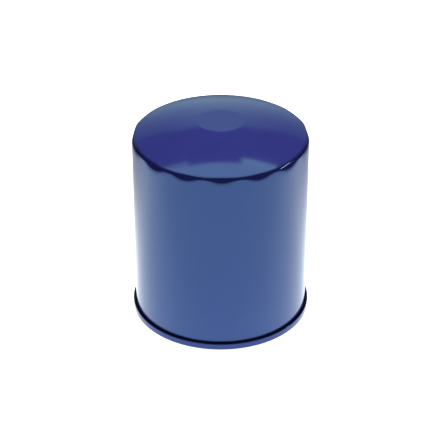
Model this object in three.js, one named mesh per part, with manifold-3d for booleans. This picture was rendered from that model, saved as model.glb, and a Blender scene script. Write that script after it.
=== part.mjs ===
// A spin-on engine oil filter: a deep-drawn steel can, seamed to a threaded base, that holds a
// pleated paper element, its two valves and the coil spring that presses it down.
// Millimetres, +Z up. The origin is the centre of the gasket's sealing face: the filter stands on
// its gasket with the closed dome on top.

import * as THREE from "three";
import { mergeVertices } from "three/addons/utils/BufferGeometryUtils.js";
import Module from "manifold-3d";

const wasm = await Module();
wasm.setup();

// ---- Driving dimensions ----

const CAN_RADIUS = 46.5; // a standard 93 mm can
const OVERALL_HEIGHT = 113.5; // from the gasket's face to the flat spot on the dome
const GASKET_PROUD = 1.2; // how far the gasket stands out past the rolled seam
const FLUTES = 15; // flats for a 93 mm, 15-flute cap wrench
const CAN_SHEET = 0.45;
const LID_SHEET = 0.4;
const CAP_SHEET = 0.5; // end caps, centre tube and valve cage
const PLATE_THICK = 3.2;
const STUD_MINOR_RADIUS = 9.45; // minor radius of a 13/16-16 thread
const ELEMENT_RADIUS = 41; // outside of the element's end caps
const FIT_GAP = 0.3; // between pieces that rest on each other
const SEAM_GAP = 0.1; // between the folded layers of the seam

const FINE = 60; // sides of the outer, visible rings: four to each flute
const COARSE = 32; // sides of the sealed inner rings

// ---- Colours ----

const finish = (color, roughness, metalness) =>
  new THREE.MeshStandardMaterial({ color, roughness, metalness });
const bluePaint = finish(0x24408f, 0.25, 0.1);
const bareSteel = finish(0x9a9c9e, 0.4, 0.9);
const tinnedSteel = finish(0xb4b6b5, 0.35, 0.9);
const springSteel = finish(0x6f7276, 0.35, 0.9);
const blackRubber = finish(0x151516, 0.8, 0);
const siliconeRubber = finish(0x8f3a1e, 0.6, 0);
const filterPaper = finish(0xd2b56a, 0.9, 0);
const curedAdhesive = finish(0x7d8590, 0.7, 0);
const valveNylon = finish(0x1f1f22, 0.5, 0);

// ---- Helpers ----

const radians = THREE.MathUtils.degToRad;

// Points along an arc in the radius-height plane, angles in degrees from the +radius direction.
function arc(centreR, centreZ, radius, from, to, steps) {
  return Array.from({ length: steps + 1 }, (_, i) => {
    const a = radians(from + ((to - from) * i) / steps);
    return [centreR + radius * Math.cos(a), centreZ + radius * Math.sin(a)];
  });
}

// Twice the signed area of an outline: positive where it runs anticlockwise.
function turnOf(outline) {
  return outline.reduce((sum, [r, z], i) => {
    const [r2, z2] = outline[(i + 1) % outline.length];
    return sum + r * z2 - r2 * z;
  }, 0);
}

// The outline turned a full circle about Z. An outline with points on the axis gives a solid
// body, any other gives a ring.
function turned(outline, sides) {
  const points = turnOf(outline) > 0 ? [...outline] : [...outline].reverse();
  const axial = points.findIndex(
    ([r], i) => r === 0 && points[(i + points.length - 1) % points.length][0] === 0,
  );
  const ordered =
    axial < 0
      ? [...points, points[0]]
      : [...points.slice(axial), ...points.slice(0, axial)];
  const profile = ordered.map(([r, z]) => new THREE.Vector2(r, z));
  return new THREE.LatheGeometry(profile, sides).rotateX(Math.PI / 2);
}

// A polyline moved sideways by a distance, with mitred corners. Positive is to its left.
function offset(path, distance, closed = false) {
  const count = path.length;
  const direction = (i, j) => {
    const dx = path[j][0] - path[i][0];
    const dy = path[j][1] - path[i][1];
    const length = Math.hypot(dx, dy);
    return [dx / length, dy / length];
  };
  return path.map(([x, y], i) => {
    const before = closed ? (i + count - 1) % count : Math.max(i - 1, 0);
    const after = closed ? (i + 1) % count : Math.min(i + 1, count - 1);
    const [ax, ay] = before === i ? direction(i, after) : direction(before, i);
    const [bx, by] = after === i ? [ax, ay] : direction(i, after);
    const nx = -(ay + by);
    const ny = ax + bx;
    const scale = distance / (1 + ax * bx + ay * by);
    return [x + nx * scale, y + ny * scale];
  });
}

// The outline of sheet metal that follows a middle line.
function sheet(middle, thickness) {
  const left = offset(middle, thickness / 2);
  const right = offset(middle, -thickness / 2);
  return [...left, ...right.reverse()];
}

// A geometry as a manifold-3d solid, and a solid back as a geometry.
function solid(geometry) {
  const bare = geometry.index ? geometry.toNonIndexed() : geometry.clone();
  bare.deleteAttribute("normal");
  bare.deleteAttribute("uv");
  const merged = mergeVertices(bare, 1e-3);
  return new wasm.Manifold(
    new wasm.Mesh({
      numProp: 3,
      vertProperties: merged.attributes.position.array,
      triVerts: new Uint32Array(merged.index.array),
    }),
  );
}

function geometryOf(made) {
  const { numVert, numProp, vertProperties, triVerts } = made.getMesh();
  const positions = new Float32Array(numVert * 3);
  for (let i = 0; i < numVert; i++)
    positions.set(vertProperties.subarray(i * numProp, i * numProp + 3), i * 3);
  return new THREE.BufferGeometry()
    .setAttribute("position", new THREE.BufferAttribute(positions, 3))
    .setIndex(new THREE.BufferAttribute(triVerts, 1));
}

// A geometry less a cutter, repeated evenly round Z. The first cutter is at the start angle.
function cutRound(body, cutter, count, start = 0) {
  return Array.from({ length: count }, (_, i) => start + (360 * i) / count).reduce(
    (left, angle) => left.subtract(solid(cutter.clone().rotateZ(radians(angle)))),
    body,
  );
}

// ---- Can: the deep-drawn shell, with its fluted shoulder and the flange folded into the seam ----

const SHOULDER_RADIUS = 1.9;
const CROWN_SLOPE = 22; // degrees, where the crown meets the shoulder
const SPOT_RADIUS = 12; // the pressed flat at the dome's centre
const FLUTE_TILT = 15; // degrees that a flat leans in
const FLUTE_DIP = 1.6; // how far below the shoulder a flat's middle reaches
const FRONT = -90; // degrees, the direction that the first flute faces

const wallInner = CAN_RADIUS - CAN_SHEET;
const shoulderCentre = CAN_RADIUS - SHOULDER_RADIUS;
const crownRadius = shoulderCentre / Math.sin(radians(CROWN_SLOPE)) + SHOULDER_RADIUS;
const crownCentre = OVERALL_HEIGHT - Math.sqrt(crownRadius ** 2 - SPOT_RADIUS ** 2);
const wallTop =
  crownCentre + (crownRadius - SHOULDER_RADIUS) * Math.cos(radians(CROWN_SLOPE));

// Half the dome's section, from the straight wall to the axis, drawn in by a sheet thickness.
function domeSection(inset) {
  const crown = crownRadius - inset;
  const edge = 90 - CROWN_SLOPE;
  const spotEdge = (Math.acos(SPOT_RADIUS / crown) * 180) / Math.PI;
  return [
    ...arc(shoulderCentre, wallTop, SHOULDER_RADIUS - inset, 0, edge, 4),
    ...arc(0, crownCentre, crown, edge, spotEdge, 4).slice(1, -1),
    [SPOT_RADIUS, OVERALL_HEIGHT - inset],
    [0, OVERALL_HEIGHT - inset],
  ];
}

// A block that lies beyond one flat's plane, which leans in by FLUTE_TILT.
function fluteCutter(inset) {
  const [wide, deep, tall] = [30, 12, 26];
  return new THREE.BoxGeometry(deep, wide, tall)
    .translate(deep / 2 - inset, 0, tall * 0.3)
    .rotateY(radians(-FLUTE_TILT))
    .translate(CAN_RADIUS, 0, wallTop - FLUTE_DIP);
}

const seamFold = {
  bottom: GASKET_PROUD,
  coverHook: CAN_RADIUS + SEAM_GAP + LID_SHEET / 2,
  bodyHook: CAN_RADIUS + 2 * SEAM_GAP + LID_SHEET + CAN_SHEET / 2,
  outerWall: CAN_RADIUS + 3 * SEAM_GAP + 1.5 * LID_SHEET + CAN_SHEET,
  top: GASKET_PROUD + 4,
};

function can() {
  const turnZ = seamFold.bottom + LID_SHEET + SEAM_GAP; // underside of the flange's fold
  const hookTop = seamFold.top - 1;
  const hookIn = seamFold.bodyHook - CAN_SHEET / 2;
  const hookOut = seamFold.bodyHook + CAN_SHEET / 2;
  const filled = 3.2; // height at which the inside begins
  const outside = [
    [0, filled],
    [wallInner, filled],
    [wallInner, turnZ + 0.3],
    [wallInner + 0.3, turnZ],
    [hookOut - 0.3, turnZ],
    [hookOut, turnZ + 0.3],
    [hookOut, hookTop],
    [hookIn, hookTop],
    [hookIn, turnZ + CAN_SHEET],
    [CAN_RADIUS, turnZ + CAN_SHEET],
    ...domeSection(0),
  ];
  const inside = [[0, filled - 0.1], [wallInner, filled - 0.1], ...domeSection(CAN_SHEET)];
  const shell = (outline, inset) =>
    cutRound(solid(turned(outline, FINE)), fluteCutter(inset), FLUTES, FRONT);
  return geometryOf(shell(outside, 0).subtract(shell(inside, CAN_SHEET)));
}

// ---- Base: threaded tapping plate, seaming lid and gasket ----

const GASKET_INNER = 31;
const GASKET_OUTER = 35.8;
const GASKET_THICK = 4.9;
const INLETS = 8;
const INLET_RADIUS = 3.25;
const INLET_CIRCLE = 25;
const HUB_RADIUS = 13.6;
const HUB_TOP = 15.2;

const grooveFloor = GASKET_THICK + FIT_GAP - 0.2 + LID_SHEET / 2;
const plateBottom = grooveFloor + LID_SHEET / 2 + FIT_GAP;
const plateTop = plateBottom + PLATE_THICK;

function seamingLid() {
  const panel = GASKET_PROUD + 1.6;
  const lipRadius = GASKET_INNER - 0.6;
  const channelRadius = GASKET_OUTER + 0.6;
  const chuckRadius = wallInner - SEAM_GAP - LID_SHEET / 2;
  const floor = seamFold.bottom + LID_SHEET / 2;
  const crest = seamFold.top - LID_SHEET / 2;
  const middle = [
    [lipRadius, 2.6],
    [lipRadius, grooveFloor],
    [channelRadius, grooveFloor],
    [channelRadius, panel],
    [chuckRadius, panel],
    [chuckRadius, floor + 0.25],
    [chuckRadius + 0.25, floor],
    [seamFold.outerWall - 0.5, floor],
    [seamFold.outerWall, floor + 0.5],
    [seamFold.outerWall, crest - 0.35],
    [seamFold.outerWall - 0.35, crest],
    [seamFold.coverHook + 0.2, crest],
    [seamFold.coverHook, crest - 0.2],
    [seamFold.coverHook, floor + 1.4],
  ];
  return turned(sheet(middle, LID_SHEET), FINE);
}

// Sealing compound that fills the fold above the body hook.
function seamCompound() {
  const { bodyHook, top } = seamFold;
  return turned(
    [
      [bodyHook - 0.15, top - 0.9],
      [bodyHook + 0.15, top - 0.9],
      [bodyHook + 0.15, top - LID_SHEET - 0.1],
      [bodyHook - 0.15, top - LID_SHEET - 0.1],
    ],
    FINE,
  );
}

function gasket() {
  return turned(
    [
      [GASKET_INNER, 0],
      [GASKET_OUTER, 0],
      [GASKET_OUTER, GASKET_THICK],
      [GASKET_INNER, GASKET_THICK],
    ],
    FINE,
  );
}

function tappingPlate() {
  const mouth = 1.2; // lead-in chamfer of the thread
  const rimDrop = 2.3; // the rim steps down onto the lid's panel
  const plate = turned(
    [
      [STUD_MINOR_RADIUS + mouth, plateBottom],
      [37.7, plateBottom],
      [39.2, plateBottom - rimDrop],
      [43.6, plateBottom - rimDrop],
      [43.6, plateTop - rimDrop],
      [39.6, plateTop - rimDrop],
      [38.1, plateTop],
      [HUB_RADIUS, plateTop],
      [HUB_RADIUS, HUB_TOP],
      [STUD_MINOR_RADIUS + 0.6, HUB_TOP],
      [STUD_MINOR_RADIUS, HUB_TOP - 0.6],
      [STUD_MINOR_RADIUS, plateBottom + mouth],
    ],
    FINE,
  );
  const inlet = new THREE.CylinderGeometry(INLET_RADIUS, INLET_RADIUS, 12, 12)
    .rotateX(Math.PI / 2)
    .translate(INLET_CIRCLE, 0, plateTop);
  return geometryOf(cutRound(solid(plate), inlet, INLETS, FRONT + 180 / INLETS));
}

// ---- Anti-drainback valve: one rubber moulding, a clamped collar and the skirt that lifts ----

const COLLAR_OUTER = 19.6;
const COLLAR_TOP = 14.7;
const SKIRT_RADIUS = 32.6;

function drainbackCollar() {
  const bore = HUB_RADIUS + FIT_GAP;
  const foot = plateTop + FIT_GAP;
  return turned(
    [
      [bore, foot],
      [bore + 3.1, foot],
      [COLLAR_OUTER, foot + 1.8],
      [COLLAR_OUTER, COLLAR_TOP],
      [bore, COLLAR_TOP],
    ],
    COARSE,
  );
}

function drainbackSkirt() {
  const root = COLLAR_OUTER + FIT_GAP + 0.1;
  const foot = plateTop + FIT_GAP;
  return turned(
    [
      [root, foot + 1.8],
      [SKIRT_RADIUS - 1.6, foot],
      [SKIRT_RADIUS, foot],
      [SKIRT_RADIUS, foot + 0.8],
      [SKIRT_RADIUS - 1.8, foot + 1],
      [root, foot + 3],
    ],
    COARSE,
  );
}

// ---- Element: end caps, adhesive, pleated paper, clip and centre tube ----

const PLEATS = 40;
const PLEAT_OUTER = 39.4;
const PLEAT_INNER = 19.6;
const PAPER = 0.8;
const TUBE_RADIUS = 18.6;
const ADHESIVE_THICK = 1.6;
const ELEMENT_TOP = 88.6;
const BYPASS_SEAT = 9; // radius of the bypass hole in the dome-end cap

const baseCapZ = COLLAR_TOP + FIT_GAP; // underside of the base-end cap
const tubeBottom = baseCapZ + CAP_SHEET + FIT_GAP;
const tubeTop = ELEMENT_TOP - CAP_SHEET - FIT_GAP;
const pleatBottom = tubeBottom + ADHESIVE_THICK + FIT_GAP;
const pleatTop = tubeTop - ADHESIVE_THICK - FIT_GAP;

function baseEndCap() {
  const middle = baseCapZ + CAP_SHEET / 2;
  const inner = TUBE_RADIUS - CAP_SHEET - FIT_GAP - CAP_SHEET / 2 - 0.2;
  const outer = ELEMENT_RADIUS - CAP_SHEET / 2;
  const path = [
    [inner, middle + 2.8],
    [inner, middle],
    [outer, middle],
    [outer, middle + 4],
  ];
  return turned(sheet(path, CAP_SHEET), COARSE);
}

function domeEndCap() {
  const middle = ELEMENT_TOP - CAP_SHEET / 2;
  const outer = ELEMENT_RADIUS - CAP_SHEET / 2;
  const path = [
    [BYPASS_SEAT, middle],
    [outer, middle],
    [outer, middle - 4],
  ];
  return turned(sheet(path, CAP_SHEET), COARSE);
}

function adhesiveRing(bottom) {
  const inner = TUBE_RADIUS + FIT_GAP;
  const outer = ELEMENT_RADIUS - CAP_SHEET - FIT_GAP;
  return turned(
    [
      [inner, bottom],
      [outer, bottom],
      [outer, bottom + ADHESIVE_THICK],
      [inner, bottom + ADHESIVE_THICK],
    ],
    COARSE,
  );
}

// The paper's middle line seen from above: two corners at each outer tip and inner root.
function pleatLine() {
  const corner = (radius, across, angle) => [
    radius * Math.cos(angle) - across * Math.sin(angle),
    radius * Math.sin(angle) + across * Math.cos(angle),
  ];
  const pitch = (2 * Math.PI) / PLEATS;
  return Array.from({ length: PLEATS }, (_, i) => i * pitch).flatMap((angle) => [
    corner(PLEAT_OUTER, -0.55, angle),
    corner(PLEAT_OUTER, 0.55, angle),
    corner(PLEAT_INNER, -0.5, angle + pitch / 2),
    corner(PLEAT_INNER, 0.5, angle + pitch / 2),
  ]);
}

function pleatedPaper() {
  const line = pleatLine();
  const vectors = (points) => points.map(([x, y]) => new THREE.Vector2(x, y));
  const shape = new THREE.Shape(vectors(offset(line, -PAPER / 2, true)));
  shape.holes.push(new THREE.Path(vectors(offset(line, PAPER / 2, true))));
  return new THREE.ExtrudeGeometry(shape, {
    depth: pleatTop - pleatBottom,
    bevelEnabled: false,
  }).translate(0, 0, pleatBottom);
}

// The folded strip of metal that joins the paper's two ends, over the pleat that faces back.
function paperClip() {
  const legs = 1.45;
  const strip = 0.35;
  const path = [
    [PLEAT_OUTER - 6, -legs],
    [PLEAT_OUTER + 0.65, -legs],
    [PLEAT_OUTER + 0.65, legs],
    [PLEAT_OUTER - 6, legs],
  ];
  const shape = new THREE.Shape(sheet(path, strip).map(([x, y]) => new THREE.Vector2(x, y)));
  return new THREE.ExtrudeGeometry(shape, {
    depth: pleatTop - pleatBottom,
    bevelEnabled: false,
  })
    .rotateZ(Math.PI / 2)
    .translate(0, 0, pleatBottom);
}

function centreTube() {
  const columns = 8;
  const rows = 6;
  const hole = 2.2;
  const inner = TUBE_RADIUS - CAP_SHEET;
  const wall = turned(
    [
      [inner, tubeBottom],
      [TUBE_RADIUS, tubeBottom],
      [TUBE_RADIUS, tubeTop],
      [inner, tubeTop],
    ],
    COARSE,
  );
  const rise = (tubeTop - tubeBottom) / (rows + 0.5);
  return geometryOf(
    Array.from({ length: rows }, (_, row) => row).reduce((body, row) => {
      const punch = new THREE.CylinderGeometry(hole, hole, 6, 6)
        .rotateZ(Math.PI / 2)
        .translate(TUBE_RADIUS, 0, tubeBottom + (row + 0.75) * rise);
      return cutRound(body, punch, columns, ((row % 2) * 180) / columns + 180 / COARSE);
    }, solid(wall)),
  );
}

// ---- Bypass valve, in the dome end of the centre tube: it opens down into the clean side ----

const CAGE_RADIUS = 13.8;
const CAGE_BOTTOM = 66;
const SEAL_THICK = 1.6;
const POPPET_RADIUS = 11;
const POPPET_DISC = 1.2;
const BYPASS_WIRE = 1;

const sealTop = ELEMENT_TOP - CAP_SHEET - FIT_GAP;
const discTop = sealTop - SEAL_THICK - FIT_GAP;
const discBottom = discTop - POPPET_DISC;

function bypassCage() {
  const wall = CAGE_RADIUS - CAP_SHEET / 2;
  const path = [
    [5, CAGE_BOTTOM + CAP_SHEET / 2],
    [wall, CAGE_BOTTOM + CAP_SHEET / 2],
    [wall, tubeTop - CAP_SHEET / 2],
    [TUBE_RADIUS - CAP_SHEET - FIT_GAP - 0.3, tubeTop - CAP_SHEET / 2],
  ];
  const windowTall = 11;
  const windowCutter = new THREE.BoxGeometry(8, 12, windowTall).translate(
    CAGE_RADIUS,
    0,
    CAGE_BOTTOM + 9,
  );
  return geometryOf(cutRound(solid(turned(sheet(path, CAP_SHEET), COARSE)), windowCutter, 4, 45));
}

function bypassSeal() {
  return turned(
    [
      [4.3, sealTop - SEAL_THICK],
      [POPPET_RADIUS - 0.3, sealTop - SEAL_THICK],
      [POPPET_RADIUS - 0.3, sealTop],
      [4.3, sealTop],
    ],
    COARSE,
  );
}

function bypassPoppet() {
  return turned(
    [
      [0, discBottom - 4],
      [5.6, discBottom - 4],
      [6.2, discBottom],
      [POPPET_RADIUS, discBottom],
      [POPPET_RADIUS, discTop],
      [4, discTop],
      [4, sealTop - 0.4],
      [0, sealTop - 0.4],
    ],
    COARSE,
  );
}

// ---- Springs: round wire wound on a helix whose first and last turns lie closed ----

class CoilPath extends THREE.Curve {
  constructor({ turns, wire, bottom, top, bottomRadius, topRadius }) {
    super();
    Object.assign(this, { turns, wire, bottom, top, bottomRadius, topRadius });
  }

  getPoint(t, target = new THREE.Vector3()) {
    const closedRise = this.wire * 1.15; // rise of each closed end turn
    const turn = t * this.turns;
    const free = this.top - this.bottom - 2 * closedRise;
    const climb = THREE.MathUtils.clamp((turn - 1) / (this.turns - 2), 0, 1) * free;
    const ends = Math.min(turn, 1) + Math.max(turn - this.turns + 1, 0);
    const radius = THREE.MathUtils.lerp(this.bottomRadius, this.topRadius, t);
    const angle = 2 * Math.PI * turn;
    return target.set(
      radius * Math.cos(angle),
      radius * Math.sin(angle),
      this.bottom + climb + ends * closedRise,
    );
  }
}

function coilSpring(sizes) {
  const sides = 6;
  const stepsPerTurn = 12;
  const section = Array.from({ length: sides }, (_, i) => {
    const angle = (2 * Math.PI * i) / sides;
    return new THREE.Vector2(Math.cos(angle), Math.sin(angle)).multiplyScalar(sizes.wire / 2);
  });
  return new THREE.ExtrudeGeometry(new THREE.Shape(section), {
    steps: Math.round(sizes.turns * stepsPerTurn),
    extrudePath: new CoilPath(sizes),
    bevelEnabled: false,
  });
}

function bypassSpring() {
  return coilSpring({
    turns: 6,
    wire: BYPASS_WIRE,
    bottom: CAGE_BOTTOM + CAP_SHEET + FIT_GAP + BYPASS_WIRE / 2,
    top: discBottom - FIT_GAP - BYPASS_WIRE / 2,
    bottomRadius: 8,
    topRadius: 8,
  });
}

function elementSpring() {
  const wire = 2;
  return coilSpring({
    turns: 4.5,
    wire,
    bottom: ELEMENT_TOP + FIT_GAP + wire / 2,
    top: OVERALL_HEIGHT - CAN_SHEET - FIT_GAP - wire / 2,
    bottomRadius: 17,
    topRadius: 9.5,
  });
}

// ---- The assembly ----

function piece(name, geometry, material) {
  const mesh = new THREE.Mesh(geometry, material);
  mesh.name = name;
  return mesh;
}

function assembly(...pieces) {
  return new THREE.Group().add(...pieces);
}

const housing = assembly(
  piece("outer_can", can(), bluePaint),
  piece("seaming_lid", seamingLid(), bluePaint),
  piece("seam_compound", seamCompound(), blackRubber),
  piece("tapping_plate", tappingPlate(), bareSteel),
  piece("mounting_gasket", gasket(), blackRubber),
  piece("element_spring", elementSpring(), springSteel),
  piece("drainback_collar", drainbackCollar(), siliconeRubber),
);

const element = assembly(
  piece("base_end_cap", baseEndCap(), tinnedSteel),
  piece("base_end_adhesive", adhesiveRing(tubeBottom), curedAdhesive),
  piece("pleated_paper", pleatedPaper(), filterPaper),
  piece("paper_seam_clip", paperClip(), tinnedSteel),
  piece("centre_tube", centreTube(), tinnedSteel),
  piece("dome_end_adhesive", adhesiveRing(tubeTop - ADHESIVE_THICK), curedAdhesive),
  piece("dome_end_cap", domeEndCap(), tinnedSteel),
  piece("bypass_cage", bypassCage(), tinnedSteel),
  piece("bypass_spring", bypassSpring(), springSteel),
);

const poppet = assembly(
  piece("bypass_poppet", bypassPoppet(), valveNylon),
  piece("bypass_seal", bypassSeal(), blackRubber),
);

const skirt = assembly(piece("drainback_skirt", drainbackSkirt(), siliconeRubber));

export default assembly(housing, element, poppet, skirt);
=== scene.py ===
import math

import bmesh
import bpy
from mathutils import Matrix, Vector


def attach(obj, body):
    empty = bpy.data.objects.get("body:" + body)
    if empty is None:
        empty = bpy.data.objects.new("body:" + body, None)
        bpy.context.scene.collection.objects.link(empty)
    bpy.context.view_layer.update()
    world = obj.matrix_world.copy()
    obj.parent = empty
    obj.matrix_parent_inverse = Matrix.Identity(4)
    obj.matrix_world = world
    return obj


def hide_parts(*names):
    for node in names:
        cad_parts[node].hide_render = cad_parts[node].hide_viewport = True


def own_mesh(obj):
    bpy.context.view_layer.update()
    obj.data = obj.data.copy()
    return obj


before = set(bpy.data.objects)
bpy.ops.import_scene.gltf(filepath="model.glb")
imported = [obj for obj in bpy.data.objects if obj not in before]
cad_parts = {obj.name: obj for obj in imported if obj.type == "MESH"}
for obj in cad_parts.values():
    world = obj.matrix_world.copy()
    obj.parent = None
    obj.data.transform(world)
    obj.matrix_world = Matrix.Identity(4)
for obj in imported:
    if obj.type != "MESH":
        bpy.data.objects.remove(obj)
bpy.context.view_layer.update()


# ---- The can ----
# A cup deep-drawn from one disc of sheet steel, 0.45 mm thick, and enamelled blue. Fifteen flats are
# pressed into its shoulder for a cap wrench, and its open edge is turned out to be folded into the seam.

MM = 0.001
CAN_RADIUS = 46.5
CAN_TOP = 113.5
CAN_SHEET = 0.45
SHOULDER_RADIUS = 1.9
SHOULDER_IN = CAN_RADIUS - SHOULDER_RADIUS
CROWN_SLOPE = math.radians(22)
CROWN_RADIUS = SHOULDER_IN / math.sin(CROWN_SLOPE) + SHOULDER_RADIUS
SPOT_RADIUS = 12.0
CROWN_CENTRE = CAN_TOP - math.sqrt(CROWN_RADIUS**2 - SPOT_RADIUS**2)
WALL_TOP = CROWN_CENTRE + (CROWN_RADIUS - SHOULDER_RADIUS) * math.cos(CROWN_SLOPE)
FLAT_FOOT = WALL_TOP - 1.6
PRESSED_FROM = 94.0
FLANGE_TOP = 2.15
HOOK_RADIUS = 47.1
HOOK_TOP = 4.2
CORNER_SHADE_FROM = 5.9
CORNER_SHADE_FULL = 5.1
CREASE = math.radians(32)
CAN_SIDES = 360


def arc(centre, radius, start, end, steps):
    """Points of an arc, in the plane of radius and height, from angle start to angle end."""
    turns = [start + (end - start) * i / steps for i in range(steps + 1)]
    return [(centre[0] + radius * math.cos(a), centre[1] + radius * math.sin(a)) for a in turns]


def rounded(points, radius, closed=False, steps=5):
    """The line through the points with its corners rounded off. A point may carry its own radius."""
    line = []
    count = len(points)
    for i, point in enumerate(points):
        if not closed and i in (0, count - 1):
            line.append(Vector(point[:2]))
            continue
        here = Vector(point[:2])
        back = Vector(points[i - 1][:2]) - here
        on = Vector(points[(i + 1) % count][:2]) - here
        own = point[2] if len(point) > 2 else radius
        opening = back.angle(on)
        reach = min(own / math.tan(opening / 2), 0.49 * back.length, 0.49 * on.length)
        start = here + back.normalized() * reach
        end = here + on.normalized() * reach
        for k in range(steps + 1):
            t = k / steps
            line.append(start * (1 - t) ** 2 + here * 2 * t * (1 - t) + end * t * t)
    return [tuple(p) for p in line]


def spaced(points, step, closed=False):
    """The same line with points added so that none of its stretches is longer than a step."""
    line = []
    ends = points[1:] + points[:1] if closed else points[1:]
    for start, end in zip(points, ends):
        parts = max(1, math.ceil(math.dist(start, end) / step))
        line += [
            tuple(s + (e - s) * k / parts for s, e in zip(start, end)) for k in range(parts)
        ]
    return line if closed else line + [tuple(points[-1])]


def piece_of(name, corners, faces):
    """A mesh object at the origin from corners in millimetres."""
    mesh = bpy.data.meshes.new(name)
    mesh.from_pydata([Vector(c) * MM for c in corners], [], faces)
    piece = bpy.data.objects.new(name, mesh)
    bpy.context.scene.collection.objects.link(piece)
    return piece


def spun(name, outline, sides, closed=True):
    """An outline of radius and height turned a full circle. An open one gives a skin."""
    corners = []
    rings = []
    for radius, height in outline:
        first = len(corners)
        if radius < 1e-6:
            corners.append((0, 0, height))
            rings.append([first] * sides)
            continue
        for j in range(sides):
            a = 2 * math.pi * j / sides
            corners.append((radius * math.cos(a), radius * math.sin(a), height))
        rings.append(list(range(first, first + sides)))
    faces = []
    for ring, onward in zip(rings, rings[1:] + rings[:1] if closed else rings[1:]):
        for j in range(sides):
            k = (j + 1) % sides
            face = list(dict.fromkeys((ring[j], onward[j], onward[k], ring[k])))
            if len(face) > 2:
                faces.append(face)
    piece = piece_of(name, corners, faces)
    if closed:
        facing_out(piece)
    return piece


def facing_out(piece):
    """Merges the doubles of a closed mesh and turns all its faces outwards."""
    shape = bmesh.new()
    shape.from_mesh(piece.data)
    bmesh.ops.remove_doubles(shape, verts=shape.verts, dist=1e-7)
    bmesh.ops.recalc_face_normals(shape, faces=shape.faces)
    shape.to_mesh(piece.data)
    shape.free()


def baked(piece):
    """The piece with its modifiers worked into a plain mesh, smooth but for its creases."""
    graph = bpy.context.evaluated_depsgraph_get()
    graph.update()
    mesh = bpy.data.meshes.new_from_object(piece.evaluated_get(graph))
    piece.modifiers.clear()
    piece.data = mesh
    mesh.shade_smooth()
    mesh.set_sharp_from_angle(angle=CREASE)
    return piece


def thickened(piece, thickness, side=0.0):
    """A skin given its sheet's thickness. Side -1 keeps the skin as the outer face."""
    wall = piece.modifiers.new("sheet", "SOLIDIFY")
    wall.thickness = thickness * MM
    wall.offset = side
    wall.use_even_offset = True
    return baked(piece)


class Wire:
    """One socket's value. Sums on wires add Math nodes to the recipe that they belong to."""

    def __init__(self, recipe, socket):
        self.recipe = recipe
        self.socket = socket

    def __getitem__(self, label):
        return Wire(self.recipe, self.socket.node.outputs[label])

    def __add__(self, other):
        return self.recipe.sum("ADD", self, other)

    def __sub__(self, other):
        return self.recipe.sum("SUBTRACT", self, other)

    def __mul__(self, other):
        return self.recipe.sum("MULTIPLY", self, other)

    def __truediv__(self, other):
        return self.recipe.sum("DIVIDE", self, other)

    def __rsub__(self, other):
        return self.recipe.sum("SUBTRACT", other, self)

    def __rtruediv__(self, other):
        return self.recipe.sum("DIVIDE", other, self)

    __radd__ = __add__
    __rmul__ = __mul__


class Recipe:
    """A node tree that is written down as sums and calls."""

    def __init__(self, tree):
        self.tree = tree

    def node(self, kind, settings=None, sockets=None, gives=0):
        made = self.tree.nodes.new(kind)
        for key, value in (settings or {}).items():
            setattr(made, key, value)
        for label, value in (sockets or {}).items():
            self.feed(made.inputs[label], value)
        return Wire(self, made.outputs[gives])

    def feed(self, socket, value):
        if isinstance(value, Wire):
            self.tree.links.new(value.socket, socket)
        else:
            socket.default_value = value

    def sum(self, operation, *values):
        return self.node("ShaderNodeMath", {"operation": operation}, dict(enumerate(values)))

    def vector(self, x, y, z):
        return self.node("ShaderNodeCombineXYZ", None, {0: x, 1: y, 2: z})

    def at(self):
        """Where each point is."""
        return self.node(self.place_node, gives=self.place_output)

    def along(self, axis):
        """How far each point lies along an axis."""
        return self.node("ShaderNodeSeparateXYZ", None, {0: self.at()})[axis]

    def out(self):
        """How far each point lies from the can's own axis."""
        x = self.along("X")
        y = self.along("Y")
        return self.sum("SQRT", x * x + y * y)


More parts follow.
